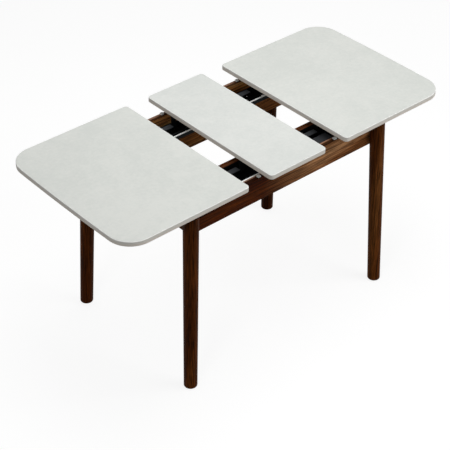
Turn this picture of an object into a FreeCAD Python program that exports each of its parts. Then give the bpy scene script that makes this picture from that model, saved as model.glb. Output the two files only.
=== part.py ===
import FreeCAD, Part
import math
import os
import re

import Sketcher

# Extending table with a self-storing leaf.  Two half tops slide apart on steel slides, and a
# one-piece leaf rises between them on four levers.  Shown open: both halves out, the leaf up.
# Frame: origin on the floor under the middle of the table, X along its length, -Y the front,
# Z up.  Millimetres.  "Front" and "back" are the long sides, "left" is -X and "right" is +X.

document = FreeCAD.newDocument("ExtendingTable")
Vector = FreeCAD.Vector

DIMENSIONS = (
    # tops
    ("table_height", 750.0),
    ("top_thickness", 18.0),
    ("table_width", 652.0),
    ("half_length", 512.0),
    ("leaf_length", 256.0),
    ("opening", 92.0),
    ("end_bow", 5.0),
    ("outer_corner", 88.0),
    ("inner_corner", 14.0),
    ("top_round", 2.5),
    ("bottom_round", 1.2),
    # wooden frame
    ("top_space", 26.0),
    ("apron_height", 92.0),
    ("apron_thickness", 20.0),
    ("apron_face", 263.0),
    ("end_face", 423.0),
    ("apron_round", 2.0),
    ("leg_x", 430.0),
    ("leg_y", 276.0),
    ("leg_top_radius", 27.0),
    ("leg_foot_radius", 24.0),
    ("leg_splay_x", 28.0),
    ("leg_splay_y", 26.0),
    ("foot_round", 5.0),
    ("glide_height", 3.0),
    ("glide_radius", 13.0),
    ("rail_face", 115.0),
    ("rail_thickness", 20.0),
    ("rail_lift", 15.0),
    ("front_rail_drop", 3.0),
    ("back_rail_drop", 18.0),
    ("cross_rail_x", 365.0),
    ("cross_rail_width", 30.0),
    ("cross_rail_height", 56.0),
    ("brace_gap", 18.0),
    ("brace_width", 16.0),
    ("brace_height", 40.0),
    ("brace_lift", 6.0),
    ("bolt_radius", 4.0),
    ("bolt_reach", 22.0),
    ("nut_radius", 7.5),
    ("nut_height", 6.5),
    ("bolt_end", 4.0),
    # steel trays between the aprons and the inner rails
    ("tray_floor", 38.0),
    ("tray_wall", 2.0),
    ("tray_outer_flange", 11.0),
    ("tray_flange_drop", 2.0),
    ("tray_end", 366.0),
    ("bearer_x", 250.0),
    ("bearer_width", 30.0),
    ("bearer_height", 20.0),
    ("front_screw_y", 185.0),
    ("back_screw_y", 213.0),
    # slides for the tops
    ("front_slide_y", 210.0),
    ("back_slide_y", 160.0),
    ("channel_width", 28.0),
    ("channel_height", 18.0),
    ("channel_wall", 2.0),
    ("channel_slot", 14.0),
    ("bar_flange_width", 20.0),
    ("bar_flange_height", 5.6),
    ("bar_web", 6.0),
    ("bar_foot_width", 26.0),
    ("bar_foot_height", 4.0),
    ("bar_inset", 20.0),
    ("bar_length", 400.0),
    ("hanger_x", 350.0),
    ("bar_screw_inset", 30.0),
    ("liner_length", 120.0),
    ("notch_margin", 2.5),
    # geared drive that keeps the two tops in step
    ("gear_module", 2.0),
    ("gear_teeth", 12.0),
    ("gear_width", 6.0),
    ("gear_lane", 1.2),
    ("gear_backlash", 0.35),
    ("shaft_radius", 4.0),
    ("bush_radius", 6.5),
    ("collar_radius", 8.0),
    ("collar_length", 6.0),
    ("shaft_end", 0.6),
    ("rack_back", 7.0),
    ("rack_overlap", 24.0),
    ("rack_run", 236.0),
    ("hanger_width", 36.0),
    ("hanger_tab", 18.0),
    ("hanger_tab_height", 4.0),
    ("tab_screw_inset", 5.5),
    # levers that raise the leaf
    ("front_lift_y", 163.0),
    ("back_lift_y", 187.0),
    ("lift_drop", 20.0),
    ("lever_length", 60.0),
    ("lever_thickness", 6.0),
    ("lever_eye", 7.0),
    ("lever_waist", 9.0),
    ("pivot_x", 176.0),
    ("pivot_height", 22.0),
    ("pin_radius", 3.0),
    ("pin_head_radius", 4.6),
    ("pin_head_height", 1.5),
    ("bracket_length", 76.0),
    ("bracket_width", 22.0),
    ("bracket_height", 42.0),
    ("bracket_base", 1.0),
    ("cover_thickness", 2.5),
    ("cover_lip_in", 9.5),
    ("cover_lip_out", 21.0),
    ("carrier_thickness", 3.0),
    ("carrier_length", 20.0),
    ("carrier_tip", 8.0),
    ("carrier_foot", 18.0),
    ("stud_end", 1.0),
    ("spacer_radius", 5.5),
    # guide track, strips and white nylon pads
    ("track_wall", 3.0),
    ("track_ledge", 2.0),
    ("track_base", 2.0),
    ("strip_width", 4.0),
    ("strip_height", 3.0),
    ("front_strip_width", 6.0),
    ("front_strip_depth", 8.0),
    ("front_strip_end", 150.0),
    ("pad_side", 11.0),
    ("pad_height", 5.0),
    ("pad_setback", 12.0),
    ("leaf_pad_inset", 10.0),
    ("top_pad_inset", 17.0),
    ("stop_length", 9.0),
    ("stop_height", 4.0),
    ("lock_plate_x", 184.0),
    ("lock_plate_y", 236.0),
    ("lock_plate_drop", 6.0),
    ("lock_plate_length", 62.0),
    ("lock_plate_width", 37.0),
    ("lock_foot_width", 10.0),
    ("lock_plate_thickness", 2.5),
    # wood screws
    ("screw_head_radius", 4.0),
    ("screw_head_height", 2.0),
    ("screw_crown_radius", 2.4),
    ("screw_radius", 1.9),
    ("screw_tip", 0.3),
    ("screw_length", 14.0),
    # clearances
    ("joint_gap", 0.2),
    ("running_gap", 0.4),
    ("pin_gap", 0.06),
    ("rest_gap", 0.3),
)

sheet = document.addObject("Spreadsheet::Sheet", "Dims")
for line, (alias, value) in enumerate(DIMENSIONS, start=1):
    sheet.set("A%d" % line, alias)
    sheet.set("B%d" % line, "%g" % value)
    sheet.setAlias("B%d" % line, alias)

# Places that follow from the dimensions, each named once.
PLACES = (
    ("panel_base", "table_height - top_thickness"),
    ("apron_top", "panel_base - top_space"),
    ("apron_base", "apron_top - apron_height"),
    ("apron_inner", "apron_face - apron_thickness"),
    ("end_inner", "end_face - apron_thickness"),
    ("rail_outer", "rail_face + rail_thickness"),
    ("rail_base", "apron_base + rail_lift"),
    ("front_rail_top", "apron_top - front_rail_drop"),
    ("back_rail_top", "apron_top - back_rail_drop"),
    ("leaf_half", "leaf_length / 2"),
    ("top_inner", "leaf_half + opening"),
    ("top_outer", "top_inner + half_length"),
    ("bow_radius", "table_width * table_width / 8 / end_bow + end_bow / 2"),
    ("tray_base", "apron_base + tray_floor"),
    ("tray_top", "tray_base + tray_wall"),
    ("tray_inner", "rail_outer + joint_gap"),
    ("tray_outer", "apron_inner - joint_gap"),
    ("flange_face", "tray_inner + tray_wall"),
    ("channel_base", "tray_top"),
    ("channel_inside", "channel_base + channel_wall"),
    ("channel_lip", "channel_base + channel_height - channel_wall"),
    ("bar_top", "channel_lip - running_gap"),
    ("bar_base", "bar_top - bar_flange_height"),
    ("bar_start", "top_inner + bar_inset"),
    ("bar_end", "bar_start + bar_length"),
    ("bar_screw_pitch", "( bar_end - hanger_x ) / 2 - bar_screw_inset"),
    ("pitch_radius", "gear_module * gear_teeth / 2"),
    ("gear_near", "flange_face + gear_lane"),
    ("gear_far", "gear_near + gear_width"),
    ("gear_axis", "tray_top + rack_back + pitch_radius + gear_module"),
    ("lift_swing", "asin(lift_drop / 2 / lever_length) / 1deg"),
    ("pivot_z", "tray_top + pivot_height"),
    ("lever_reach", "lever_length * cos(lift_swing * 1deg)"),
    ("lever_rise", "lever_length * sin(lift_swing * 1deg)"),
    ("carrier_x", "pivot_x - lever_reach"),
    ("carrier_z", "pivot_z + lever_rise"),
    ("carrier_offset", "lever_thickness / 2 + 2 * rest_gap"),
    ("carrier_screw_offset", "carrier_offset + carrier_foot - screw_head_radius - 2"),
    ("lever_lean", "lever_waist / 2 * sin(lift_swing * 1deg)"),
    ("lever_side", "lever_waist / 2 * cos(lift_swing * 1deg)"),
    ("bracket_near", "pivot_x - bracket_length / 2"),
    ("bracket_far", "pivot_x + bracket_length / 2"),
    ("leaf_pad_x", "leaf_half - leaf_pad_inset"),
    ("top_pad_x", "top_inner + top_pad_inset"),
    ("pad_y", "apron_inner + pad_setback"),
)
aliases = [alias for alias, value in DIMENSIONS]


def in_sheet(formula):
    """Put the sheet's name before each alias, for use outside the sheet."""
    return re.sub("[a-z_]+", lambda word: "Dims." + word.group() if word.group() in aliases
                  else word.group(), formula)


for line, (alias, formula) in enumerate(PLACES, start=1):
    sheet.set("D%d" % line, alias)
    sheet.set("E%d" % line, "=" + formula)
    sheet.setAlias("E%d" % line, alias)
    aliases.append(alias)
document.recompute()

probe = document.addObject("App::FeaturePython", "Probe")
probe.addProperty("App::PropertyFloat", "amount")


def measure(formula):
    """The present value of a formula of the sheet's aliases."""
    probe.setExpression("amount", in_sheet(formula))
    probe.recompute()
    return probe.amount


# ---------------------------------------------------------------- building blocks
nodes = {}


def node(label, item):
    item.Label = label
    nodes[label] = item
    return item


def bind(item, **formulas):
    for name, formula in formulas.items():
        item.setExpression(name, in_sheet(formula))


def move(item, x="0", y="0", z="0"):
    for axis, formula in (("x", x), ("y", y), ("z", z)):
        item.setExpression("Placement.Base." + axis, in_sheet(formula))
    return item


def box(name, x, y, z, length, width, height):
    item = document.addObject("Part::Box", name)
    bind(item, Length=length, Width=width, Height=height)
    return move(item, x, y, z)


def cylinder(name, radius, height, x, y, z, along="z"):
    item = document.addObject("Part::Cylinder", name)
    turns = {"z": (Vector(1, 0, 0), 0), "y": (Vector(1, 0, 0), -90), "x": (Vector(0, 1, 0), 90)}
    item.Placement = FreeCAD.Placement(Vector(), FreeCAD.Rotation(*turns[along]))
    bind(item, Radius=radius, Height=height)
    return move(item, x, y, z)


def cone(name, radii, height, x, y, z):
    item = document.addObject("Part::Cone", name)
    bind(item, Radius1=radii[0], Radius2=radii[1], Height=height)
    return move(item, x, y, z)


def fuse(name, shapes):
    item = document.addObject("Part::MultiFuse", name)
    item.Shapes = shapes
    return item


def cut(name, base, tools):
    item = document.addObject("Part::Cut", name)
    item.Base = base
    item.Tool = tools[0] if len(tools) == 1 else fuse(name + "_tools", tools)
    return item


def group(name, items):
    item = document.addObject("Part::Compound", name)
    item.Links = items
    return item


def origin_plane(body, role):
    return [item for item in body.Origin.OriginFeatures if item.Role == role][0]


def bulge(start, end, radius):
    """Arc that runs anticlockwise from start to end, bowed outwards."""
    chord = end - start
    depth = math.sqrt(radius * radius - chord.Length * chord.Length / 4)
    centre = start + chord * 0.5 + Vector(-chord.y, chord.x, 0).normalize() * depth
    angles = [math.atan2(point.y - centre.y, point.x - centre.x) for point in (start, end)]
    return Part.ArcOfCircle(Part.Circle(centre, Vector(0, 0, 1), radius), *angles)


def outline(body, role, points, bowed=None, bow=None):
    """A closed sketch with its corners tied to formulas; the bowed side is a shallow arc."""
    sketch = body.newObject("Sketcher::SketchObject", body.Name + "_sketch")
    sketch.AttachmentSupport = [(origin_plane(body, role), "")]
    sketch.MapMode = "FlatFace"
    corners = [Vector(measure(x), measure(y), 0) for x, y in points]
    for index, corner in enumerate(corners):
        following = corners[(index + 1) % len(corners)]
        if index == bowed:
            sketch.addGeometry(bulge(corner, following, measure(bow)), False)
        else:
            sketch.addGeometry(Part.LineSegment(corner, following), False)
    for index in range(len(corners)):
        following = (index + 1) % len(corners)
        sketch.addConstraint(Sketcher.Constraint("Coincident", index, 2, following, 1))
    for index, (x, y) in enumerate(points):
        across = sketch.addConstraint(
            Sketcher.Constraint("DistanceX", -1, 1, index, 1, corners[index].x))
        sketch.setExpression("Constraints[%d]" % across, in_sheet(x))
        up = sketch.addConstraint(
            Sketcher.Constraint("DistanceY", -1, 1, index, 1, corners[index].y))
        sketch.setExpression("Constraints[%d]" % up, in_sheet(y))
    if bowed is not None:
        tie = sketch.addConstraint(Sketcher.Constraint("Radius", bowed, measure(bow)))
        sketch.setExpression("Constraints[%d]" % tie, in_sheet(bow))
    return sketch


def circles(body, role, centres, radius):
    """A sketch of equal circles, for pilot holes."""
    sketch = body.newObject("Sketcher::SketchObject", body.Name + "_holes")
    sketch.AttachmentSupport = [(origin_plane(body, role), "")]
    sketch.MapMode = "FlatFace"
    size = measure(radius)
    for index, (x, y) in enumerate(centres):
        centre = Vector(measure(x), measure(y), 0)
        sketch.addGeometry(Part.Circle(centre, Vector(0, 0, 1), size), False)
        tie = sketch.addConstraint(Sketcher.Constraint("DistanceX", -1, 1, index, 3, centre.x))
        sketch.setExpression("Constraints[%d]" % tie, in_sheet(x))
        tie = sketch.addConstraint(Sketcher.Constraint("DistanceY", -1, 1, index, 3, centre.y))
        sketch.setExpression("Constraints[%d]" % tie, in_sheet(y))
        tie = sketch.addConstraint(Sketcher.Constraint("Radius", index, size))
        sketch.setExpression("Constraints[%d]" % tie, in_sheet(radius))
    return sketch


def extrusion(name, role, points, length, x="0", y="0", z="0", bowed=None, bow=None):
    """A body padded from a closed outline along the plane's normal."""
    body = document.addObject("PartDesign::Body", name)
    pad = body.newObject("PartDesign::Pad", name + "_pad")
    pad.Profile = outline(body, role, points, bowed, bow)
    bind(pad, Length=length)
    move(body, x, y, z)
    document.recompute()
    return body


def holes(body, role, centres, radius, depth, inward):
    """Pockets from an origin plane into the body; inward says which way the solid lies."""
    before = body.Shape.Volume
    pocket = body.newObject("PartDesign::Pocket", body.Name + "_pocket")
    pocket.Profile = circles(body, role, centres, radius)
    pocket.Reversed = inward
    bind(pocket, Length=depth)
    document.recompute()
    if body.Shape.Volume >= before:
        raise RuntimeError(body.Name + ": the holes cut nothing")


def soften(body, pick, radius):
    """Fillet the edges of the body that the pick function chooses."""
    names = []
    for index, edge in enumerate(body.Tip.Shape.Edges, start=1):
        if pick(edge):
            names.append("Edge%d" % index)
    base = body.Tip
    fillet = body.newObject("PartDesign::Fillet", body.Name + "_fillet")
    fillet.Base = (base, names)
    bind(fillet, Radius=radius)
    document.recompute()
    return fillet


def feature(name, shape):
    item = document.addObject("Part::Feature", name)
    item.Shape = shape
    return item


def signed(sign, formula):
    return formula if sign > 0 else "0 - ( %s )" % formula


def low(sign, near, far):
    """The lower end of a span that lies on one side of a mirror plane."""
    return near if sign > 0 else "0 - ( %s )" % far


def high(sign, near, far):
    """The upper end of a span that lies on one side of a mirror plane."""
    return far if sign > 0 else "0 - ( %s )" % near


def row(hand, name):
    """Distance of a row from the middle line; the front and back trays differ in layout."""
    return ("back_" if hand > 0 else "front_") + name


def round_edges(name, base, pick, radius):
    """Fillet the edges of a primitive or loft that the pick function chooses."""
    document.recompute()
    size = measure(radius)
    rounded = document.addObject("Part::Fillet", name)
    rounded.Base = base
    rounded.Edges = [(index, size, size)
                     for index, edge in enumerate(base.Shape.Edges, start=1) if pick(edge)]
    return rounded


# ---------------------------------------------------------------- panels
def is_upright(edge):
    first, last = edge.Vertexes[0].Point, edge.Vertexes[-1].Point
    return abs(first.x - last.x) < 1e-6 and abs(first.y - last.y) < 1e-6


def at_height(level):
    return lambda edge: all(abs(v.Point.z - level) < 1e-6 for v in edge.Vertexes)


def panel(label, start, ends, corner_radii, pilot_holes, bowed=None):
    """A flat panel along X from start, with its four corners and both rims rounded."""
    near, far = ends
    points = ((near, "0 - table_width / 2"), (far, "0 - table_width / 2"),
              (far, "table_width / 2"), (near, "table_width / 2"))
    body = extrusion(label, "XY_Plane", points, "top_thickness", x=start, z="panel_base",
                     bowed=bowed, bow="bow_radius")
    near_radius, far_radius = corner_radii
    half = measure(far) / 2
    if near_radius == far_radius:
        soften(body, is_upright, near_radius)
    else:
        soften(body, lambda e: is_upright(e) and e.Vertexes[0].Point.x < half, near_radius)
        soften(body, lambda e: is_upright(e) and e.Vertexes[0].Point.x > half, far_radius)
    thickness = measure("top_thickness")
    soften(body, at_height(thickness), "top_round")
    soften(body, at_height(0.0), "bottom_round")
    holes(body, "XY_Plane", pilot_holes, "screw_radius + pin_gap",
          "screw_length - carrier_thickness + 1", True)
    return node(label, body)


def screws(label, places, head_up):
    """Pan-head wood screws; each place is the middle of the face under its head."""
    copies = []
    for x, y, z in places:
        if head_up:
            shank_z, tip_z = z + " - screw_length + screw_radius", z + " - screw_length"
            tip_radii, head_z = ("screw_tip", "screw_radius"), z
            head_radii = ("screw_head_radius", "screw_crown_radius")
        else:
            shank_z, tip_z = z, z + " + screw_length - screw_radius"
            tip_radii, head_z = ("screw_radius", "screw_tip"), z + " - screw_head_height"
            head_radii = ("screw_crown_radius", "screw_head_radius")
        shank = cylinder("screw_shank", "screw_radius", "screw_length - screw_radius",
                         x, y, shank_z)
        point = cone("screw_point", tip_radii, "screw_radius", x, y, tip_z)
        head = cone("screw_head", head_radii, "screw_head_height", x, y, head_z)
        copies.append(fuse("screw", [shank, point, head]))
    return node(label, group(label + "_set", copies))


# The left top's rack lies in the back tray and the right top's in the front one.
RACK_HANDS = {-1: 1, 1: -1}


def bar_screw_places(side):
    """Screws through the feet of a top's two slide bars, beside the web."""
    places = []
    for hand in (-1, 1):
        beside_web = " + bar_web / 2 + ( bar_foot_width - bar_web ) / 4"
        y = signed(hand, row(hand, "slide_y") + beside_web)
        for index in range(3):
            x = "hanger_x + bar_screw_inset + %d * bar_screw_pitch" % index
            places.append((signed(side, x), y))
    return places


def rack_screw_place(side):
    """The screw through the tab of a top's rack hanger."""
    x = signed(side, "hanger_x + hanger_width / 2")
    return x, signed(RACK_HANDS[side], "gear_far - hanger_tab + tab_screw_inset")


def top_panel(label, side):
    """Half top: the outer end is bowed, its corners wide; the inner end meets the leaf."""
    places = bar_screw_places(side) + [rack_screw_place(side)]
    start = "top_inner" if side > 0 else "0 - top_outer"
    pilots = [("( %s ) - ( %s )" % (x, start), y) for x, y in places]
    if side > 0:
        return panel(label, start, ("0", "half_length - end_bow"),
                     ("inner_corner", "outer_corner"), pilots, bowed=1)
    return panel(label, start, ("end_bow", "half_length"),
                 ("outer_corner", "inner_corner"), pilots, bowed=3)


def carrier_screw_places():
    places = []
    for side in (-1, 1):
        for hand in (-1, 1):
            y = row(hand, "lift_y") + " + carrier_screw_offset"
            places.append((signed(side, "carrier_x"), signed(hand, y)))
    return places


top_panel("left_top", -1)
top_panel("right_top", 1)
leaf_pilots = [("( %s ) + leaf_half" % x, y) for x, y in carrier_screw_places()]
panel("leaf", "0 - leaf_half", ("0", "leaf_length"), ("inner_corner", "inner_corner"),
      leaf_pilots)


# ---------------------------------------------------------------- legs and wooden frame
def leg_solid(name, side, hand, gap):
    """Round tapering leg, leaning outwards by the splay, larger all round by the gap."""
    rings = []
    levels = (("glide_height", "leg_splay_x", "leg_splay_y", "leg_foot_radius"),
              ("apron_top", "0", "0", "leg_top_radius"))
    for index, (z, lean_x, lean_y, radius) in enumerate(levels):
        ring = document.addObject("Part::Circle", "%s_ring%d" % (name, index))
        bind(ring, Radius=radius + " + " + gap)
        move(ring, signed(side, "leg_x + " + lean_x), signed(hand, "leg_y + " + lean_y), z)
        rings.append(ring)
    loft = document.addObject("Part::Loft", name)
    loft.Sections = rings
    loft.Solid = True
    loft.Ruled = True
    return loft


def along_diagonal(item, side, hand, distance):
    """Lay an item's Z along the level line from a leg's axis to the middle of the table."""
    way = Vector(-side, -hand, 0)
    item.Placement = FreeCAD.Placement(Vector(), FreeCAD.Rotation(Vector(0, 0, 1), way))
    x = signed(side, "leg_x - ( %s ) / sqrt(2)" % distance)
    y = signed(hand, "leg_y - ( %s ) / sqrt(2)" % distance)
    return move(item, x, y, "apron_base + brace_lift + brace_height / 2")


def bolt_rod(name, side, hand, gap):
    rod = document.addObject("Part::Cylinder", name)
    bind(rod, Radius="bolt_radius + " + gap,
         Height="bolt_reach + brace_gap + brace_width + nut_height + bolt_end")
    return along_diagonal(rod, side, hand, "leg_top_radius - bolt_reach")


def hanger_bolt(name, side, hand):
    """Bolt from the leg through the corner brace, with its nut on the brace's inner face."""
    nut = document.addObject("Part::Prism", name + "_nut")
    nut.Polygon = 6
    bind(nut, Circumradius="nut_radius", Height="nut_height")
    along_diagonal(nut, side, hand, "leg_top_radius + brace_gap + brace_width")
    return fuse(name, [bolt_rod(name + "_rod", side, hand, "0"), nut])


def leg(label, side, hand):
    blank = leg_solid(label + "_blank", side, hand, "0")
    rounded = round_edges(label + "_round", blank, at_height(measure("glide_height")),
                          "foot_round")
    return node(label, cut(label, rounded, [bolt_rod(label + "_bore", side, hand, "pin_gap")]))


def brace(name, side, hand):
    """Fills the corner between a long and an end apron, square to the leg's diagonal."""
    inner = "( leg_top_radius + brace_gap ) * sqrt(2)"
    outer = "( leg_top_radius + brace_gap + brace_width ) * sqrt(2)"
    points = (("leg_x + leg_y - apron_inner - " + inner, "apron_inner"),
              ("end_inner", "leg_x + leg_y - end_inner - " + inner),
              ("end_inner", "leg_x + leg_y - end_inner - " + outer),
              ("leg_x + leg_y - apron_inner - " + outer, "apron_inner"))
    ring = [(signed(side, x), signed(hand, y)) for x, y in points]
    blank = extrusion(name + "_blank", "XY_Plane", ring, "brace_height",
                      z="apron_base + brace_lift")
    return cut(name, blank, [bolt_rod(name + "_bore", side, hand, "pin_gap")])


CORNERS = (("front_left", -1, -1), ("front_right", 1, -1),
           ("back_left", -1, 1), ("back_right", 1, 1))
glides = []
bolts = []
braces = []
for place, side, hand in CORNERS:
    leg("leg_" + place, side, hand)
    glides.append(cylinder("glide_" + place, "glide_radius", "glide_height",
                           signed(side, "leg_x + leg_splay_x"),
                           signed(hand, "leg_y + leg_splay_y"), "0"))
    bolts.append(hanger_bolt("bolt_" + place, side, hand))
    braces.append(brace("brace_" + place, side, hand))
node("foot_glides", group("glides", glides))
node("hanger_bolts", group("bolts", bolts))
node("corner_braces", group("brace_set", braces))


def corner_tools(label, side, hand):
    """What an apron gives way to at its end: the leg and the leg's hanger bolt."""
    return [leg_solid(label + "_socket", side, hand, "joint_gap"),
            bolt_rod(label + "_bore", side, hand, "pin_gap")]


def outer_rims(axis, face):
    """Picks the long edges of an apron's outer face."""
    def pick(edge):
        spots = [(v.Point.x, v.Point.y)[axis] for v in edge.Vertexes]
        level = abs(edge.Vertexes[0].Point.z - edge.Vertexes[-1].Point.z) < 1e-6
        return level and all(abs(abs(spot) - face) < 1e-6 for spot in spots)
    return pick


for label, hand in (("front_apron", -1), ("back_apron", 1)):
    blank = box(label + "_blank", "0 - end_face", low(hand, "apron_inner", "apron_face"),
                "apron_base", "2 * end_face", "apron_thickness", "apron_height")
    blank = round_edges(label + "_round", blank, outer_rims(1, measure("apron_face")),
                        "apron_round")
    tools = corner_tools(label, -1, hand) + corner_tools(label, 1, hand)
    node(label, cut(label, blank, tools))

for label, side in (("left_end_apron", -1), ("right_end_apron", 1)):
    blank = box(label + "_blank", low(side, "end_inner", "end_face"), "0 - apron_inner",
                "apron_base", "apron_thickness", "2 * apron_inner", "apron_height")
    blank = round_edges(label + "_round", blank, outer_rims(0, measure("end_face")),
                        "apron_round")
    tools = corner_tools(label, side, -1) + corner_tools(label, side, 1)
    for hand in (-1, 1):
        half = "bar_foot_width / 2 + notch_margin"
        middle = row(hand, "slide_y")
        tools.append(box("bar_notch", low(side, "end_inner - 1", "end_face + 1"),
                         low(hand, middle + " - ( %s )" % half, middle + " + " + half),
                         "bar_base - notch_margin", "apron_thickness + 2",
                         "bar_foot_width + 2 * notch_margin", "apron_height"))
    node(label, cut(label, blank, tools))


def shaft_passage(name, hand, radius):
    """Cylinder across an inner rail and its tray, for the shaft that joins the two pinions."""
    near = "rail_face - 1"
    far = "flange_face + 1"
    return cylinder(name, radius, far + " - ( %s )" % near, "0", low(hand, near, far),
                    "gear_axis", "y")


for label, hand, top in (("front_inner_rail", -1, "front_rail_top"),
                         ("back_inner_rail", 1, "back_rail_top")):
    blank = box(label + "_blank", "0 - end_inner", low(hand, "rail_face", "rail_outer"),
                "rail_base", "2 * end_inner", "rail_thickness", top + " - rail_base")
    node(label, cut(label, blank, [shaft_passage(label + "_hole", hand,
                                                 "bush_radius + pin_gap")]))

cross_rails = []
bearers = []
for side in (-1, 1):
    near = "cross_rail_x - cross_rail_width / 2"
    far = "cross_rail_x + cross_rail_width / 2"
    cross_rails.append(box("cross_rail", low(side, near, far), "0 - rail_face", "rail_base",
                           "cross_rail_width", "2 * rail_face", "cross_rail_height"))
    for hand in (-1, 1):
        near = "bearer_x - bearer_width / 2"
        far = "bearer_x + bearer_width / 2"
        bearers.append(box("bearer", low(side, near, far), low(hand, "rail_outer", "apron_inner"),
                           "tray_base - bearer_height", "bearer_width",
                           "apron_inner - rail_outer", "bearer_height"))
node("cross_rails", group("cross_rail_pair", cross_rails))


# ---------------------------------------------------------------- trays and slide channels
def tray_screw_places():
    places = []
    for side in (-1, 1):
        for hand in (-1, 1):
            y = signed(hand, row(hand, "screw_y"))
            places.append((signed(side, "bearer_x"), y, "tray_top"))
    return places


def pilot(name, place):
    """Clearance hole round a screw that points down from a place."""
    x, y, z = place
    return cylinder(name, "screw_radius + pin_gap", "screw_length + 2", x, y,
                    z + " - screw_length - 1")


tray_pilots = [pilot("tray_pilot", place) for place in tray_screw_places()]
node("tray_bearers", cut("tray_bearer_set", group("bearer_blanks", bearers), tray_pilots))
screws("tray_screws", tray_screw_places(), True)

for label, hand, rail_top in (("front_tray", -1, "front_rail_top"),
                              ("back_tray", 1, "back_rail_top")):
    inner_top = rail_top + " - tray_flange_drop"
    points = (("tray_inner", "tray_base"), ("tray_outer", "tray_base"),
              ("tray_outer", "tray_base + tray_outer_flange"),
              ("tray_outer - tray_wall", "tray_base + tray_outer_flange"),
              ("tray_outer - tray_wall", "tray_top"), ("flange_face", "tray_top"),
              ("flange_face", inner_top), ("tray_inner", inner_top))
    ring = [(signed(hand, y), z) for y, z in points]
    blank = extrusion(label + "_blank", "YZ_Plane", ring, "2 * tray_end", x="0 - tray_end")
    screw_row = signed(hand, row(hand, "screw_y"))
    tools = [pilot(label + "_pilot", (signed(side, "bearer_x"), screw_row, "tray_top"))
             for side in (-1, 1)]
    tools.append(shaft_passage(label + "_hole", hand, "bush_radius + pin_gap"))
    node(label, cut(label, blank, tools))

channels = []
liners = []
for hand in (-1, 1):
    half = "channel_width / 2"
    lip = "channel_slot / 2"
    top = "channel_base + channel_height"
    points = [("0 - " + half, "channel_base"), (half, "channel_base"), (half, top), (lip, top),
              (lip, "channel_lip"), (half + " - channel_wall", "channel_lip"),
              (half + " - channel_wall", "channel_inside"),
              ("channel_wall - " + half, "channel_inside"),
              ("channel_wall - " + half, "channel_lip"), ("0 - " + lip, "channel_lip"),
              ("0 - " + lip, top), ("0 - " + half, top)]
    channels.append(extrusion("slide_channel", "YZ_Plane", points, "2 * tray_end",
                              x="0 - tray_end", y=signed(hand, row(hand, "slide_y"))))
    for side in (-1, 1):
        width = "( channel_width - 2 * channel_wall )"
        liners.append(box("slide_liner", low(side, "tray_end - liner_length", "tray_end"),
                          signed(hand, row(hand, "slide_y")) + " - %s / 2" % width,
                          "channel_inside", "liner_length", width,
                          "bar_base - channel_inside - rest_gap"))
node("slide_channels", group("slide_channel_pair", channels))
node("slide_liners", group("slide_liner_set", liners))


# ---------------------------------------------------------------- slide bars under the tops
def slide_bars(label, side):
    """T bars in the channels; only beyond the hanger line do they reach up to the top."""
    bars = []
    for hand in (-1, 1):
        middle = signed(hand, row(hand, "slide_y"))
        foot_base = "panel_base - bar_foot_height"
        flange = box(label + "_flange", low(side, "bar_start", "bar_end"),
                     middle + " - bar_flange_width / 2", "bar_base", "bar_length",
                     "bar_flange_width", "bar_flange_height")
        web = "bar_web / 2"
        foot = "bar_foot_width / 2"
        half_ring = [(web, "bar_top - 1"), (web, foot_base), (foot, foot_base),
                     (foot, "panel_base")]
        ring = half_ring + [("0 - " + y, z) for y, z in reversed(half_ring)]
        upright = extrusion(label + "_upright", "YZ_Plane", ring, "bar_end - hanger_x",
                            x=low(side, "hanger_x", "bar_end"), y=middle)
        bars.append(fuse(label + "_bar", [flange, upright]))
    tools = []
    for x, y in bar_screw_places(side):
        tools.append(cylinder(label + "_pilot", "screw_radius + pin_gap", "3 * bar_foot_height",
                              x, y, "panel_base - 2 * bar_foot_height"))
    node(label, cut(label, group(label + "_blanks", bars), tools))


for name, side in (("left", -1), ("right", 1)):
    slide_bars(name + "_slide_bars", side)
    seats = [(x, y, "panel_base - bar_foot_height") for x, y in bar_screw_places(side)]
    x, y = rack_screw_place(side)
    seats.append((x, y, "panel_base - hanger_tab_height"))
    screws(name + "_top_screws", seats, False)


# ---------------------------------------------------------------- geared drive
# The left top's rack runs over the back pinion and the right top's under the front one, so
# one shaft through both trays makes the tops move by equal amounts in opposite ways.
PRESSURE_ANGLE = math.radians(20)
ADDENDUM = 0.6
DEDENDUM = 1.1
FLANK_STEPS = 6


def pinion(label, hand):
    """Twelve-tooth spur gear about the shaft, flanks involute, thinned by the backlash."""
    module = measure("gear_module")
    teeth = int(measure("gear_teeth"))
    pitch = measure("pitch_radius")
    base = pitch * math.cos(PRESSURE_ANGLE)
    tip = pitch + ADDENDUM * module
    root = pitch - DEDENDUM * module
    half_tooth = (math.pi * module / 2 - measure("gear_backlash")) / 2 / pitch
    start = half_tooth + math.tan(PRESSURE_ANGLE) - PRESSURE_ANGLE
    flank = [(root, start)]
    for step in range(FLANK_STEPS + 1):
        radius = base + (tip - base) * step / FLANK_STEPS
        roll = math.acos(min(1.0, base / radius))
        flank.append((radius, start - (math.tan(roll) - roll)))
    near = measure(low(hand, "gear_near", "gear_far"))
    axis = measure("gear_axis")
    corners = []
    for tooth in range(teeth):
        middle = 2 * math.pi * (tooth + 0.5) / teeth
        turns = [(radius, middle - offset) for radius, offset in flank]
        turns += [(radius, middle + offset) for radius, offset in reversed(flank)]
        for radius, angle in turns:
            x, z = radius * math.cos(angle), radius * math.sin(angle)
            corners.append(Vector(x, near, axis + z))
    face = Part.Face(Part.makePolygon(corners + [corners[0]]))
    solid = face.extrude(Vector(0, measure("gear_width"), 0))
    bore = Part.makeCylinder(measure("shaft_radius + pin_gap"), measure("gear_width + 2"),
                             Vector(0, near - 1, axis), Vector(0, 1, 0))
    return node(label, feature(label, solid.cut(bore)))


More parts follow.
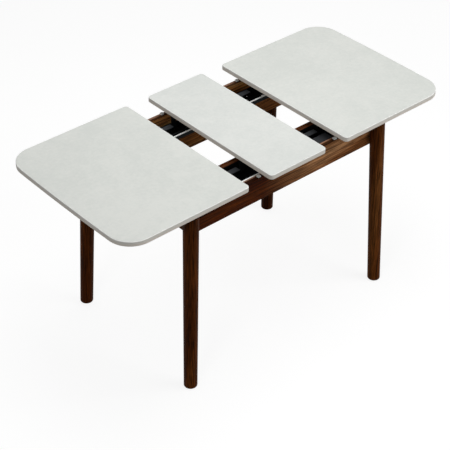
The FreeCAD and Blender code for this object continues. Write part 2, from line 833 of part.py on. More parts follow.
def rack_outline(side):
    """Corners of a rack and its hanger, as distance outwards and height."""
    module = measure("gear_module")
    over = side < 0
    up = 1 if over else -1
    pitch_line = measure("gear_axis") + up * measure("pitch_radius")
    tip_z = pitch_line - up * ADDENDUM * module
    root_z = pitch_line + up * DEDENDUM * module
    back_z = pitch_line + up * measure("rack_back")
    slope = math.tan(PRESSURE_ANGLE)
    half_tooth = (math.pi * module / 2 - measure("gear_backlash")) / 2
    tip_half = half_tooth - ADDENDUM * module * slope
    root_half = half_tooth + DEDENDUM * module * slope
    step = math.pi * module
    start = 0 - measure("rack_overlap")
    first = math.ceil((start + root_half) / step)
    last = math.floor((measure("rack_run") - root_half) / step)
    ring = [(start, root_z)]
    for index in range(first, last + 1):
        middle = index * step
        ring += [(middle - root_half, root_z), (middle - tip_half, tip_z),
                 (middle + tip_half, tip_z), (middle + root_half, root_z)]
    inner = measure("hanger_x")
    outer = measure("hanger_x + hanger_width")
    top = measure("panel_base")
    if over:
        return ring + [(outer, root_z), (outer, top), (inner, top), (inner, back_z),
                       (start, back_z)]
    return ring + [(inner, root_z), (inner, top), (outer, top), (outer, back_z),
                   (start, back_z)]


def rack(label, side):
    """Toothed bar hung from one top by a plate with a screwed tab."""
    hand = RACK_HANDS[side]
    near = measure(low(hand, "gear_near", "gear_far"))
    corners = [Vector(side * x, near, z) for x, z in rack_outline(side)]
    face = Part.Face(Part.makePolygon(corners + [corners[0]]))
    bar = feature(label + "_bar", face.extrude(Vector(0, measure("gear_width"), 0)))
    tab = box(label + "_tab", low(side, "hanger_x", "hanger_x + hanger_width"),
              low(hand, "gear_far - hanger_tab", "gear_far - 1"),
              "panel_base - hanger_tab_height", "hanger_width", "hanger_tab - 1",
              "hanger_tab_height")
    x, y = rack_screw_place(side)
    hole = cylinder(label + "_pilot", "screw_radius + pin_gap", "3 * hanger_tab_height", x, y,
                    "panel_base - 2 * hanger_tab_height")
    return node(label, cut(label, fuse(label + "_blank", [bar, tab]), [hole]))


rack("left_rack", -1)
rack("right_rack", 1)
pinion("front_pinion", -1)
pinion("back_pinion", 1)
node("sync_shaft", cylinder("sync_shaft", "shaft_radius", "2 * ( gear_far + shaft_end )", "0",
                            "0 - gear_far - shaft_end", "gear_axis", "y"))


def ring_on_shaft(name, radius, near, far, hand):
    length = far + " - ( %s )" % near
    whole = cylinder(name + "_blank", radius, length, "0", low(hand, near, far), "gear_axis", "y")
    bore = cylinder(name + "_bore", "shaft_radius + pin_gap", length + " + 2", "0",
                    low(hand, near, far) + " - 1", "gear_axis", "y")
    return cut(name, whole, [bore])


bushes = []
collars = []
for hand in (-1, 1):
    bushes.append(ring_on_shaft("bush", "bush_radius", "rail_face", "flange_face", hand))
    collars.append(ring_on_shaft("collar", "collar_radius",
                                 "rail_face - running_gap - collar_length",
                                 "rail_face - running_gap", hand))
node("shaft_bushes", group("bush_pair", bushes))
node("shaft_collars", group("collar_pair", collars))


# ---------------------------------------------------------------- leaf lift
def lever(label, side, hand):
    """Lever from the pivot in its bracket to the stud that carries the leaf."""
    middle = row(hand, "lift_y")
    near = middle + " - lever_thickness / 2"
    far = middle + " + lever_thickness / 2"
    points = (("pivot_x + lever_lean", "pivot_z + lever_side"),
              ("carrier_x + lever_lean", "carrier_z + lever_side"),
              ("carrier_x - lever_lean", "carrier_z - lever_side"),
              ("pivot_x - lever_lean", "pivot_z - lever_side"))
    ring = [(signed(side, x), z) for x, z in points]
    arm = extrusion(label + "_arm", "XZ_Plane", ring, "lever_thickness",
                    y=high(hand, near, far))
    stud_end = middle + " + carrier_offset + carrier_thickness + stud_end"
    eyes = []
    for name, x, z in (("pivot", "pivot_x", "pivot_z"), ("lift", "carrier_x", "carrier_z")):
        eyes.append(cylinder(label + "_" + name, "lever_eye", "lever_thickness",
                             signed(side, x), low(hand, near, far), z, "y"))
    stud = cylinder(label + "_stud", "pin_radius", stud_end + " - ( %s )" % near,
                    signed(side, "carrier_x"), low(hand, near, stud_end), "carrier_z", "y")
    bore = cylinder(label + "_bore", "pin_radius + pin_gap", "lever_thickness + 2",
                    signed(side, "pivot_x"), low(hand, near, far) + " - 1", "pivot_z", "y")
    return node(label, cut(label, fuse(label + "_blank", [arm, stud] + eyes), [bore]))


def carrier(side, hand):
    """Angle plate under the leaf; the lever's stud works in its slot."""
    half = "carrier_length / 2"
    near = row(hand, "lift_y") + " + carrier_offset"
    x = low(side, "carrier_x - " + half, "carrier_x + " + half)
    cheek = box("carrier_cheek", x, low(hand, near, near + " + carrier_thickness"),
                "carrier_z - carrier_tip", "carrier_length", "carrier_thickness",
                "panel_base - carrier_z + carrier_tip")
    ledge = box("carrier_ledge", x, low(hand, near, near + " + carrier_foot"),
                "panel_base - carrier_thickness", "carrier_length", "carrier_foot",
                "carrier_thickness")
    play = "lever_length - lever_reach + rest_gap / 2"
    radius = "pin_radius + rest_gap / 2"
    start = low(hand, near + " - 1", near + " + carrier_thickness + 1")
    tools = [box("carrier_slot", low(side, "carrier_x - ( %s )" % play, "carrier_x"), start,
                 "carrier_z - ( %s )" % radius, play, "carrier_thickness + 2",
                 "2 * ( %s )" % radius)]
    for end in ("carrier_x", "carrier_x - ( %s )" % play):
        tools.append(cylinder("carrier_slot_end", radius, "carrier_thickness + 2",
                              signed(side, end), start, "carrier_z", "y"))
    screw_y = signed(hand, row(hand, "lift_y") + " + carrier_screw_offset")
    tools.append(cylinder("carrier_pilot", "screw_radius + pin_gap", "3 * carrier_thickness",
                          signed(side, "carrier_x"), screw_y,
                          "panel_base - 2 * carrier_thickness"))
    return cut("carrier", fuse("carrier_blank", [cheek, ledge]), tools)


def lift_bracket(name, side, hand):
    """Folded trough on the tray with the lever's pivot pin through both cheeks."""
    middle = signed(hand, row(hand, "lift_y"))
    half = "bracket_width / 2"
    wall = "tray_wall"
    floor = "tray_top + bracket_base"
    top = "tray_top + bracket_height - cover_thickness"
    ring = [("0 - " + half, "tray_top"), (half, "tray_top"), (half, top),
            (half + " - " + wall, top), (half + " - " + wall, floor),
            (wall + " - " + half, floor), (wall + " - " + half, top), ("0 - " + half, top)]
    blank = extrusion(name + "_blank", "YZ_Plane", ring, "bracket_length",
                      x=low(side, "bracket_near", "bracket_far"), y=middle)
    bore = cylinder(name + "_bore", "pin_radius + pin_gap", "bracket_width + 2",
                    signed(side, "pivot_x"), middle + " - bracket_width / 2 - 1",
                    "pivot_z", "y")
    return cut(name, blank, [bore])


def pivot_pin(name, side, hand):
    near = row(hand, "lift_y") + " - bracket_width / 2"
    far = row(hand, "lift_y") + " + bracket_width / 2"
    end = far + " + pin_head_height"
    shank = cylinder(name + "_shank", "pin_radius", "bracket_width", signed(side, "pivot_x"),
                     low(hand, near, far), "pivot_z", "y")
    head = cylinder(name + "_head", "pin_head_radius", "pin_head_height",
                    signed(side, "pivot_x"), low(hand, far, end), "pivot_z", "y")
    return fuse(name, [shank, head])


def pivot_spacers(name, side, hand):
    """Rings on the pivot pin that keep the lever in the middle of its bracket."""
    middle = row(hand, "lift_y")
    inner_cheek = middle + " - bracket_width / 2 + tray_wall"
    outer_cheek = middle + " + bracket_width / 2 - tray_wall"
    spans = ((inner_cheek, middle + " - lever_thickness / 2 - rest_gap"),
             (middle + " + lever_thickness / 2 + rest_gap", outer_cheek))
    rings = []
    for near, far in spans:
        length = far + " - ( %s )" % near
        x = signed(side, "pivot_x")
        y = low(hand, near, far)
        whole = cylinder(name + "_blank", "spacer_radius", length, x, y, "pivot_z", "y")
        bore = cylinder(name + "_bore", "pin_radius + pin_gap", length + " + 2", x, y + " - 1",
                        "pivot_z", "y")
        rings.append(cut(name, whole, [bore]))
    return rings


node("leaf_carriers", group("carrier_set", [carrier(side, hand) for _, side, hand in CORNERS]))
screws("leaf_screws", [(x, y, "panel_base - carrier_thickness")
                       for x, y in carrier_screw_places()], False)
brackets = []
covers = []
pins = []
spacers = []
for place, side, hand in CORNERS:
    lever("lift_lever_" + place, side, hand)
    brackets.append(lift_bracket("bracket_" + place, side, hand))
    inner = "bracket_near - cover_lip_in"
    outer = "bracket_far + cover_lip_out"
    covers.append(box("cover", low(side, inner, outer),
                      signed(hand, row(hand, "lift_y")) + " - bracket_width / 2",
                      "tray_top + bracket_height - cover_thickness",
                      "bracket_length + cover_lip_in + cover_lip_out",
                      "bracket_width", "cover_thickness"))
    pins.append(pivot_pin("pin_" + place, side, hand))
    spacers += pivot_spacers("spacer_" + place, side, hand)
node("lift_brackets", group("lift_bracket_set", brackets))
node("lift_covers", group("lift_cover_set", covers))
node("pivot_pins", group("pivot_pin_set", pins))
node("pivot_spacers", group("pivot_spacer_set", spacers))


# ---------------------------------------------------------------- track, strips and pads
points = [("rail_face - track_ledge", "back_rail_top"), ("rail_outer", "back_rail_top"),
          ("rail_outer", "back_rail_top + track_base"),
          ("rail_face - track_ledge + track_wall", "back_rail_top + track_base"),
          ("rail_face - track_ledge + track_wall", "apron_top - strip_height"),
          ("rail_face - track_ledge", "apron_top - strip_height")]
node("back_guide_track", extrusion("guide_track", "YZ_Plane", points, "2 * tray_end",
                                   x="0 - tray_end"))
strip_start = "rail_face - track_ledge + track_wall / 2 - strip_width / 2"
node("back_glide_strip", box("back_strip", "0 - tray_end", strip_start,
                             "apron_top - strip_height", "2 * tray_end", "strip_width",
                             "strip_height"))
node("front_glide_strip", box("front_strip", "0 - tray_end", "0 - apron_inner",
                              "apron_top - front_strip_depth", "tray_end + front_strip_end",
                              "front_strip_width", "front_strip_depth"))

pads = []
stops = []
for side in (-1, 1):
    for middle in ("leaf_pad_x", "top_pad_x"):
        for hand in (-1, 1):
            pads.append(box("pad", signed(side, middle) + " - pad_side / 2",
                            signed(hand, "pad_y") + " - pad_side / 2", "apron_top",
                            "pad_side", "pad_side", "pad_height"))
    stops.append(box("track_stop", signed(side, "top_pad_x") + " - stop_length / 2",
                     strip_start, "apron_top", "stop_length", "strip_width", "stop_height"))
node("rest_pads", group("pad_set", pads))
node("track_stops", group("stop_set", stops))

# Lock plate: a bridge on two feet at the right of the front tray.
under_plate = "apron_top - lock_plate_drop - lock_plate_thickness"
plate = box("lock_top", "lock_plate_x", "0 - lock_plate_y", under_plate, "lock_plate_length",
            "lock_plate_width", "lock_plate_thickness")
feet = []
for start in ("lock_plate_x", "lock_plate_x + lock_plate_length - tray_wall"):
    feet.append(box("lock_foot", start, "0 - lock_plate_y", "tray_top", "tray_wall",
                    "lock_foot_width", under_plate + " - tray_top"))
node("lock_plate", fuse("lock_plate_body", [plate] + feet))

# ---------------------------------------------------------------- check and write
document.recompute()
document.removeObject(probe.Name)
for item in document.Objects:
    if "Invalid" in item.State or "Error" in item.State:
        raise RuntimeError("%s is %s" % (item.Label, item.State))
os.makedirs("parts", exist_ok=True)
for label, item in nodes.items():
    shape = item.Shape
    if shape.isNull() or not shape.isValid():
        raise RuntimeError(label + " has no valid shape")
    shape.exportStep("parts/%s.step" % label)
print(len(nodes), "nodes written")
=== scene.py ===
import math
from collections import namedtuple

import bpy
from mathutils import Matrix, Vector


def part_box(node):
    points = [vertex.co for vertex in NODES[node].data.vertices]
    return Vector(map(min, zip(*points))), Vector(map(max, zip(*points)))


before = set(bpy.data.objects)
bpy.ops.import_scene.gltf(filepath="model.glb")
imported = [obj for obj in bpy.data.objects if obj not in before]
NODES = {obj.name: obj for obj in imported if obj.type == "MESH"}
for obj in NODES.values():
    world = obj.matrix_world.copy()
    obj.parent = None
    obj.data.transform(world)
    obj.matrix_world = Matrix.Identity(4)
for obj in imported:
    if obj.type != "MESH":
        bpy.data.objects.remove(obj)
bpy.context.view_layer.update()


# ---------------------------------------------------------------- helpers
def linear(red, green, blue):
    """Linear RGBA of an sRGB colour given as 0 to 255."""
    channels = []
    for value in (red, green, blue):
        share = value / 255
        channels.append(share / 12.92 if share <= 0.04045 else ((share + 0.055) / 1.055) ** 2.4)
    return (*channels, 1.0)


def shifted(tone, step):
    """An sRGB tone with each channel moved by one step, kept within 0 to 255."""
    return tuple(min(255, max(0, value + step)) for value in tone)


def grain(axis, along, across):
    """Scale of a noise that is drawn out along one axis of the part."""
    return tuple(along if name == axis else across for name in "XYZ")


def seen_directly(tree):
    """1 for the rays that show a surface as background: camera, glossy and transmission."""
    paths = tree.nodes.new("ShaderNodeLightPath")
    shown = paths.outputs["Is Camera Ray"]
    for output in ("Is Glossy Ray", "Is Transmission Ray"):
        either = tree.nodes.new("ShaderNodeMath")
        either.operation = "MAXIMUM"
        tree.links.new(shown, either.inputs[0])
        tree.links.new(paths.outputs[output], either.inputs[1])
        shown = either.outputs[0]
    return shown


class Shader:
    """A node material under construction, around one Principled surface."""

    # Sockets of a Mix node that mixes colours; several of its sockets share their names
    MIX_FACTOR, MIX_FIRST, MIX_SECOND = 0, 6, 7
    MIX_RESULT = 2

    def __init__(self, name):
        self.material = bpy.data.materials.new(name)
        self.material.use_nodes = True
        self.tree = self.material.node_tree
        self.surface = self.tree.nodes["Principled BSDF"]

    def add(self, kind, inputs=(), **settings):
        item = self.tree.nodes.new(kind)
        for name, value in settings.items():
            setattr(item, name, value)
        for name, value in dict(inputs).items():
            self.feed(item.inputs[name], value)
        return item

    def feed(self, socket, value):
        """Link a socket to another node's output, or set it to a plain value."""
        if isinstance(value, bpy.types.NodeSocket):
            self.tree.links.new(value, socket)
        else:
            socket.default_value = value

    def set(self, **values):
        """Set the surface's own sockets, with _ for each space in a name."""
        for name, value in values.items():
            self.feed(self.surface.inputs[name.replace("_", " ")], value)

    def place(self, scale=(1, 1, 1)):
        """The point's place on the part in metres, scaled."""
        where = self.add("ShaderNodeTexCoord").outputs["Object"]
        return self.add("ShaderNodeMapping", {"Vector": where, "Scale": scale}).outputs["Vector"]

    def parts(self, vector):
        """The outputs X, Y and Z of a vector."""
        return self.add("ShaderNodeSeparateXYZ", {"Vector": vector}).outputs

    def noise(self, vector, scale, detail, roughness=0.5, distortion=0.0):
        item = self.add("ShaderNodeTexNoise", {"Vector": vector, "Scale": scale,
                                               "Detail": detail, "Roughness": roughness,
                                               "Distortion": distortion})
        return item.outputs["Fac"]

    def ramp(self, factor, stops):
        """Colours, or levels of grey, at given values of a factor."""
        item = self.add("ShaderNodeValToRGB", {"Fac": factor})
        elements = item.color_ramp.elements
        while len(elements) < len(stops):
            elements.new(0.5)
        for element, (position, color) in zip(elements, stops):
            element.position = position
            element.color = color if isinstance(color, tuple) else (color, color, color, 1)
        return item.outputs["Color"]

    def span(self, factor, low=0.0, high=1.0, start=0.0, end=1.0):
        """A value that goes from low to high as the factor goes from start to end."""
        item = self.add("ShaderNodeMapRange", {"Value": factor, "From Min": start,
                                               "From Max": end, "To Min": low, "To Max": high})
        return item.outputs["Result"]

    def mix(self, factor, first, second, kind="MIX"):
        item = self.add("ShaderNodeMix", data_type="RGBA", blend_type=kind)
        self.feed(item.inputs[self.MIX_FACTOR], factor)
        self.feed(item.inputs[self.MIX_FIRST], first)
        self.feed(item.inputs[self.MIX_SECOND], second)
        return item.outputs[self.MIX_RESULT]

    def math(self, operation, first, second):
        item = self.add("ShaderNodeMath", operation=operation)
        self.feed(item.inputs[0], first)
        self.feed(item.inputs[1], second)
        return item.outputs[0]

    def weighted(self, *pairs):
        """The sum of several factors, each given with its weight."""
        total = None
        for factor, weight in pairs:
            share = self.math("MULTIPLY", factor, weight)
            total = share if total is None else self.math("ADD", total, share)
        return total

    def bump(self, height, strength, distance):
        item = self.add("ShaderNodeBump", {"Height": height, "Strength": strength,
                                           "Distance": distance})
        self.set(Normal=item.outputs["Normal"])


# ---------------------------------------------------------------- panels
PANEL_LOW, PANEL_HIGH = (corner[2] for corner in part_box("leaf"))
# Tones of the upright edges, painted paler and warmer than the face: painted light for the light
# on the sides and the warm bounce from the walnut
EDGE_CORE_PAINTED_LIGHT = (240, 232, 221)
EDGE_SKIN_PAINTED_LIGHT = (236, 233, 225)
EDGE_SHADE = (216, 211, 203)
# Painted highlight along the rounded arris
ARRIS_HIGHLIGHT = (252, 252, 249)
PEEL_TONE = (192, 196, 189)
EDGE_SEAM = 0.48        # where an edge's lower, warmer band ends, as a share of the thickness
SEAM_BLEND = 0.0006     # half the width in metres over which the two bands meet
# How strongly the arris's painted highlight shows
ARRIS_HIGHLIGHT_LEVELS = ((0.16, 0.0), (0.40, 0.95), (0.92, 0.95), (0.99, 0.0))   # by the normal's Z


def panel_lacquer(name, tones):
    """Satin lacquer between two tones: clouds, mottling, speckle and orange peel.

    An upright edge shows a warm core below and a skin above, both painted paler and warmer than
    the face as painted light, and the rounded arris is paler still, a painted highlight.
    """
    shader = Shader(name)
    where = shader.place()
    clouds = shader.noise(where, scale=3.2, detail=5.0, roughness=0.6, distortion=0.4)
    mottle = shader.noise(where, scale=22.0, detail=5.0, roughness=0.62)
    speckle = shader.noise(where, scale=85.0, detail=3.0, roughness=0.6)
    peel = shader.noise(where, scale=160.0, detail=2.0)

    patches = shader.weighted((clouds, 0.40), (mottle, 0.30), (speckle, 0.30))
    patches = shader.span(patches, start=0.42, end=0.58)
    face = shader.mix(patches, linear(*tones[0]), linear(*tones[1]))
    face = shader.mix(shader.span(peel, high=0.06), face, linear(*PEEL_TONE))

    seam = PANEL_LOW + EDGE_SEAM * (PANEL_HIGH - PANEL_LOW)
    band = shader.span(shader.parts(where)["Z"], start=seam - SEAM_BLEND, end=seam + SEAM_BLEND)
    # Painted light: the edge's two bands are paler and warmer than the face
    edge = shader.mix(band, linear(*EDGE_CORE_PAINTED_LIGHT), linear(*EDGE_SKIN_PAINTED_LIGHT))
    blotches = shader.span(mottle, high=0.18, start=0.3, end=0.7)
    edge = shader.mix(blotches, edge, linear(*EDGE_SHADE))

    upward = shader.parts(shader.add("ShaderNodeNewGeometry").outputs["Normal"])["Z"]
    # Upright faces take the edge tones, which are painted lighter than the face
    color = shader.mix(shader.span(upward, start=0.25, end=0.75), edge, face)
    # Painted highlight: the rounded arris is painted near white
    color = shader.mix(shader.ramp(upward, ARRIS_HIGHLIGHT_LEVELS), color, linear(*ARRIS_HIGHLIGHT))
    shader.set(Base_Color=color, Roughness=shader.span(mottle, low=0.50, high=0.62),
               Specular_IOR_Level=0.25)
    shader.bump(shader.weighted((peel, 1.0), (mottle, 0.6)), strength=0.06, distance=0.0004)
    return shader.material


# ---------------------------------------------------------------- wood
WALNUT = ((42, 18, 4), (80, 42, 15), (128, 84, 46))
PLAIN = ((96, 60, 34), (128, 84, 50), (158, 112, 72))
# Painted highlight and painted shadow for a board's upper face, in place of the light and shade
# that fall there
RIM_HIGHLIGHT_TONE = (206, 164, 138)
RIM_SHADOW_TONE = (34, 14, 5)
# The palest colour that the painted light may give the wood
PALEST_WOOD = (0.70, 0.42, 0.22, 1)     # linear; no streak of a drifting tone is paler than this
FIGURE_LEVELS = (0.22, 0.50, 0.80)      # noise levels of the dark, middle and light tone
LINE_LEVELS = ((0.38, 0.16), (0.50, 0.86), (0.62, 1.72))    # noise level, then tone
LINE_DEPTH = 0.80
PORE_LEVELS = ((0.33, 0.45), (0.43, 1.0))
PORE_DEPTH = 0.6
FACE_NEAR, FACE_FAR = 0.0005, 0.0025    # a face's own colour fades out between these depths

# The upper face of a board, with a painted shadow and a painted highlight: its height, the Y
# of the painted shadow, the Y of the painted highlight, and how much it hides the wood's own
# colour
Rim = namedtuple("Rim", "level oiled pale strength")
# Painted light: what the wood's colour is multiplied by along the grain, near at start, far at end
PaintedLight = namedtuple("PaintedLight", "start near end far")
Board = namedtuple("Board", "front back top")


def board(name):
    """The Y of a board's front and back faces, and the height of its upper face."""
    low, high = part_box(name)
    return Board(low[1], high[1], high[2])


def wood(name, axis, tones, roughness=0.46, shine=0.02, rim=None, painted_light=None, inner=None):
    """Wood with its grain along one axis: broad figure, growth lines and pores.

    inner keeps the painted light to the face that looks along -Y and lies at that Y.
    """
    shader = Shader(name)
    figure = shader.noise(shader.place(grain(axis, along=1, across=14)),
                          scale=0.9, detail=5.0, roughness=0.55, distortion=0.6)
    lines = shader.noise(shader.place(grain(axis, along=3.2, across=91.0)),
                         scale=2.6, detail=6.0, roughness=0.62, distortion=0.3)
    pores = shader.noise(shader.place(grain(axis, along=22.0, across=476.0)),
                         scale=3.0, detail=2.0)
    dark, middle, light = (linear(*tone) for tone in tones)
    color = shader.ramp(figure, tuple(zip(FIGURE_LEVELS, (dark, middle, light))))
    color = shader.mix(LINE_DEPTH, color, shader.ramp(lines, LINE_LEVELS), "MULTIPLY")
    pore_mask = shader.ramp(pores, PORE_LEVELS)
    color = shader.mix(PORE_DEPTH, color, pore_mask, "MULTIPLY")

    where = shader.parts(shader.place())
    # Painted light: the wood's colour is multiplied along the grain, lighter where light should
    # fall, darker where shade should lie
    if painted_light is not None:
        tone = shader.mix(shader.span(where[axis], start=painted_light.start, end=painted_light.end),
                          (*painted_light.near, 1), (*painted_light.far, 1))
        amount = 1.0
        if inner is not None:
            amount = shader.span(where["Y"], low=1.0, high=0.0,
                                 start=inner + FACE_NEAR, end=inner + FACE_FAR)
        color = shader.mix(amount, color, tone, "MULTIPLY")
        # Caps the painted light so that no streak is paler than the palest wood
        color = shader.mix(1.0, color, PALEST_WOOD, "DARKEN")
    # Painted light on the upper face: a dark painted shadow on one side fading to a pale painted
    # highlight on the other
    if rim is not None:
        upper = shader.span(where["Z"], high=rim.strength,
                            start=rim.level - FACE_FAR, end=rim.level - FACE_NEAR)
        across = shader.span(where["Y"], start=rim.oiled, end=rim.pale)
        rim_highlight = shader.mix(lines, middle, linear(*RIM_HIGHLIGHT_TONE))
        color = shader.mix(upper, color, shader.mix(across, linear(*RIM_SHADOW_TONE), rim_highlight))

    shader.set(Base_Color=color, Specular_IOR_Level=shine,
               Roughness=shader.span(lines, low=roughness - 0.06, high=roughness + 0.10))
    shader.bump(shader.weighted((lines, 0.4), (pore_mask, 1.0)), strength=0.18, distance=0.0005)
    return shader.material


# ---------------------------------------------------------------- metal and plastic
# From a material's own tone to the tone that it varies towards, in sRGB levels
DUST_STEP = 16
BLOTCH_STEP = 22
FLOW_STEP = -14


def powder_coat(name, tone, roughness, shine, pebble_scale):
    """Powder-coated steel: a fine pebbled skin with slightly dusty patches."""
    shader = Shader(name)
    where = shader.place()
    pebbles = shader.noise(where, scale=pebble_scale, detail=2.0)
    dust = shader.noise(where, scale=18.0, detail=4.0, roughness=0.6)
    shader.set(Base_Color=shader.mix(dust, linear(*tone), linear(*shifted(tone, DUST_STEP))),
               Roughness=shader.span(dust, low=roughness - 0.06, high=roughness + 0.12),
               Specular_IOR_Level=shine)
    shader.bump(pebbles, strength=0.25, distance=0.0003)
    return shader.material


def bare_steel(name, tone, roughness, axis):
    """Zinc-plated steel with drawing lines along one axis."""
    shader = Shader(name)
    lines = shader.noise(shader.place(grain(axis, along=2.0, across=60.0)),
                         scale=12.0, detail=3.0)
    blotches = shader.noise(shader.place(), scale=60.0, detail=3.0, roughness=0.6)
    shader.set(Base_Color=shader.mix(blotches, linear(*tone), linear(*shifted(tone, BLOTCH_STEP))),
               Roughness=shader.span(lines, low=roughness - 0.08, high=roughness + 0.10),
               Metallic=1.0)
    shader.bump(lines, strength=0.08, distance=0.0002)
    return shader.material


def plastic(name, tone, roughness):
    """Moulded plastic: faint flow marks and a fine matt skin."""
    shader = Shader(name)
    flow = shader.noise(shader.place(grain("Z", along=4, across=1)),
                        scale=40.0, detail=3.0, distortion=0.4)
    skin = shader.noise(shader.place(), scale=900.0, detail=1.0)
    shader.set(Base_Color=shader.mix(flow, linear(*shifted(tone, FLOW_STEP)), linear(*tone)),
               Roughness=shader.span(flow, low=roughness - 0.05, high=roughness + 0.08),
               Subsurface_Weight=0.05)
    shader.bump(skin, strength=0.1, distance=0.0002)
    return shader.material


# ---------------------------------------------------------------- materials of the table
FRONT_APRON = board("front_apron")
BACK_APRON = board("back_apron")
FRONT_RAIL = board("front_inner_rail")
BACK_RAIL = board("back_inner_rail")

PANEL = panel_lacquer("off_white_lacquer", ((219, 222, 217), (227, 229, 224)))
LEAF = panel_lacquer("off_white_lacquer_leaf", ((222, 225, 221), (230, 232, 228)))
# Front apron: painted shade on its left part and painted light on its right part, with a painted
# shadow and highlight along its upper face
WALNUT_FRONT_PAINTED_LIGHT = wood("walnut_front_board_painted_light", "X", WALNUT,
                    rim=Rim(level=FRONT_APRON.top, oiled=FRONT_APRON.front + 0.013,
                            pale=FRONT_APRON.front + 0.016, strength=0.8),
                    painted_light=PaintedLight(start=-0.10, near=(0.64, 0.38, 0.20),
                                end=0.18, far=(2.9, 3.7, 5.5)))
# Back apron: its inner face is painted many times paler as painted light, because shade alone
# leaves it dark; its upper face carries a painted shadow and highlight
WALNUT_BACK_PAINTED_LIGHT = wood("walnut_back_board_painted_light", "X", WALNUT, inner=BACK_APRON.front,
                   rim=Rim(level=BACK_APRON.top, oiled=BACK_APRON.back - 0.014,
                           pale=BACK_APRON.back - 0.008, strength=0.8),
                   painted_light=PaintedLight(start=-0.2, near=(6.4, 8.6, 11.5),
                               end=0.2, far=(6.8, 9.2, 12.0)))
# Front inner rail: painted light, paler towards +X, with a faint painted shadow and highlight
# along its upper face
WALNUT_FRONT_RAIL_PAINTED_LIGHT = wood("walnut_front_rail_painted_light", "X", WALNUT,
                         rim=Rim(level=FRONT_RAIL.top, oiled=FRONT_RAIL.back - 0.006,
                                 pale=FRONT_RAIL.back - 0.012, strength=0.08),
                         painted_light=PaintedLight(start=-0.2, near=(1.0, 0.85, 0.7),
                                     end=0.2, far=(1.3, 1.2, 1.1)))
# Back inner rail: its inner face is painted several times paler as painted light
WALNUT_BACK_RAIL_PAINTED_LIGHT = wood("walnut_back_rail_painted_light", "X", WALNUT, inner=BACK_RAIL.front,
                        painted_light=PaintedLight(start=-0.2, near=(3.2, 4.2, 4.8),
                                    end=0.2, far=(4.6, 6.0, 8.0)))
WALNUT_END = wood("walnut_along_y", "Y", WALNUT)
# Legs: painted shade towards the foot and painted light higher up, darker and more saturated near
# the floor
WALNUT_LEG_PAINTED_LIGHT = wood("walnut_legs_painted_light", "Z", WALNUT,
                  painted_light=PaintedLight(start=0.05, near=(0.90, 0.72, 0.50),
                              end=0.42, far=(1.15, 1.08, 0.95)))
PLAIN_X = wood("plain_along_x", "X", PLAIN, roughness=0.6, shine=0.15)
PLAIN_Y = wood("plain_along_y", "Y", PLAIN, roughness=0.6, shine=0.15)
BLACK = powder_coat("black_powder_coat", (6, 7, 8), roughness=0.5, shine=0.06,
                    pebble_scale=420.0)
SLATE = powder_coat("slate_coating", (44, 46, 49), roughness=0.46, shine=0.15,
                    pebble_scale=300.0)
STEEL_X = bare_steel("plated_steel_x", (168, 169, 172), roughness=0.32, axis="X")
STEEL_Y = bare_steel("plated_steel_y", (150, 151, 154), roughness=0.34, axis="Y")
STEEL_Z = bare_steel("plated_steel_z", (168, 169, 172), roughness=0.32, axis="Z")
WHITE = plastic("white_nylon", (250, 250, 247), roughness=0.45)
FOOT = plastic("foot_plastic", (26, 26, 27), roughness=0.6)

LOOKS = {
    PANEL: ("left_top", "right_top"),
    LEAF: ("leaf",),
    WALNUT_LEG_PAINTED_LIGHT: ("leg_front_left", "leg_front_right", "leg_back_left", "leg_back_right"),
    WALNUT_FRONT_PAINTED_LIGHT: ("front_apron",),
    WALNUT_BACK_PAINTED_LIGHT: ("back_apron",),
    WALNUT_FRONT_RAIL_PAINTED_LIGHT: ("front_inner_rail",),
    WALNUT_BACK_RAIL_PAINTED_LIGHT: ("back_inner_rail",),
    WALNUT_END: ("left_end_apron", "right_end_apron"),
    PLAIN_X: ("corner_braces",),
    PLAIN_Y: ("cross_rails", "tray_bearers"),
    BLACK: ("front_tray", "back_tray", "slide_channels", "lift_brackets", "back_guide_track",
            "left_slide_bars", "right_slide_bars", "left_rack", "right_rack", "leaf_carriers",
            "lift_lever_front_left", "lift_lever_front_right", "lift_lever_back_left",
            "lift_lever_back_right"),
    SLATE: ("lift_covers", "lock_plate"),
    STEEL_Z: ("left_top_screws", "right_top_screws", "leaf_screws", "tray_screws"),
    STEEL_X: ("hanger_bolts", "front_pinion", "back_pinion"),
    STEEL_Y: ("pivot_pins", "sync_shaft", "shaft_collars"),
    WHITE: ("back_glide_strip", "front_glide_strip", "rest_pads", "track_stops",
            "slide_liners", "shaft_bushes", "pivot_spacers"),
    FOOT: ("foot_glides",),
}
for material, names in LOOKS.items():
    for name in names:
        NODES[name].data.materials.clear()
        NODES[name].data.materials.append(material)

# ---------------------------------------------------------------- floor
FLOOR_HALF = 30.0
FLOOR_TONE = (130, 130, 130)
FLOOR_GLOW = 0.86       # with the lamps' light on the floor, this shows it as almost white
floor_mesh = bpy.data.meshes.new("floor")
floor_mesh.from_pydata([(-FLOOR_HALF, -FLOOR_HALF, 0), (FLOOR_HALF, -FLOOR_HALF, 0),
                        (FLOOR_HALF, FLOOR_HALF, 0), (-FLOOR_HALF, FLOOR_HALF, 0)],
                       [], [(0, 1, 2, 3)])
floor = bpy.data.objects.new("floor", floor_mesh)
bpy.context.scene.collection.objects.link(floor)
floor_shader = Shader("pale_floor")
floor_glow = floor_shader.math("MULTIPLY", seen_directly(floor_shader.tree), FLOOR_GLOW)
floor_shader.set(Base_Color=linear(*FLOOR_TONE), Roughness=0.9, Specular_IOR_Level=0.0,
                 Emission_Color=(1, 1, 1, 1), Emission_Strength=floor_glow)
floor_mesh.materials.append(floor_shader.material)

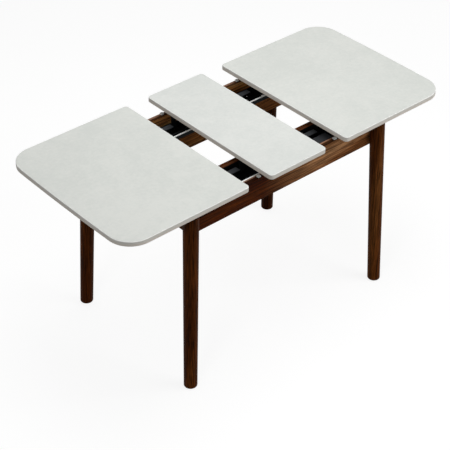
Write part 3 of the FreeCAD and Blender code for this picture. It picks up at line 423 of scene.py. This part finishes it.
# ---------------------------------------------------------------- light
WORLD_FILL = 0.19       # strength of the world as light; seen directly it is 1, which is white
world = bpy.data.worlds.new("studio")
bpy.context.scene.world = world
world.use_nodes = True
sky = world.node_tree
background = sky.nodes["Background"]
strength = sky.nodes.new("ShaderNodeMapRange")
strength.inputs["To Min"].default_value = WORLD_FILL
strength.inputs["To Max"].default_value = 1.0
sky.links.new(seen_directly(sky), strength.inputs["Value"])
sky.links.new(strength.outputs["Result"], background.inputs["Strength"])
background.inputs["Color"].default_value = (1, 1, 1, 1)


def softbox(name, place, target, side, power):
    """A square lamp of the given side in metres and power in watts, aimed at a target."""
    data = bpy.data.lights.new(name, "AREA")
    data.shape = "SQUARE"
    data.size = side
    data.energy = power
    lamp = bpy.data.objects.new(name, data)
    bpy.context.scene.collection.objects.link(lamp)
    lamp.location = place
    lamp.rotation_euler = (Vector(target) - Vector(place)).to_track_quat("-Z", "Y").to_euler()


softbox("key", place=(2.6, -3.4, 3.0), target=(0, 0, 0.5), side=3.0, power=94)
softbox("fill", place=(-4.6, -2.5, 3.9), target=(0, 0, 0.6), side=1.6, power=55)
softbox("overhead", place=(0.15, 0.2, 2.9), target=(0.12, 0.1, 0.7), side=1.8, power=30)

# ---------------------------------------------------------------- camera
CAMERA_PLACE = Vector((-2.67094, -2.96360, 3.28761))
CAMERA_WAY = Vector((0.53170, 0.59865, -0.59909)).normalized()
CAMERA_ROLL = math.radians(0.70)
CAMERA_LENS = 108.93
SENSOR_WIDTH = 36.0
camera_data = bpy.data.cameras.new("camera")
camera_data.sensor_width = SENSOR_WIDTH
camera_data.lens = CAMERA_LENS
camera = bpy.data.objects.new("camera", camera_data)
bpy.context.scene.collection.objects.link(camera)
level_right = CAMERA_WAY.cross(Vector((0, 0, 1))).normalized()
level_up = level_right.cross(CAMERA_WAY).normalized()
right = level_right * math.cos(CAMERA_ROLL) + level_up * math.sin(CAMERA_ROLL)
up = level_up * math.cos(CAMERA_ROLL) - level_right * math.sin(CAMERA_ROLL)
turn = Matrix((right, up, -CAMERA_WAY)).transposed().to_4x4()
camera.matrix_world = Matrix.Translation(CAMERA_PLACE) @ turn
bpy.context.scene.camera = camera
bpy.context.scene.view_settings.view_transform = "Standard"
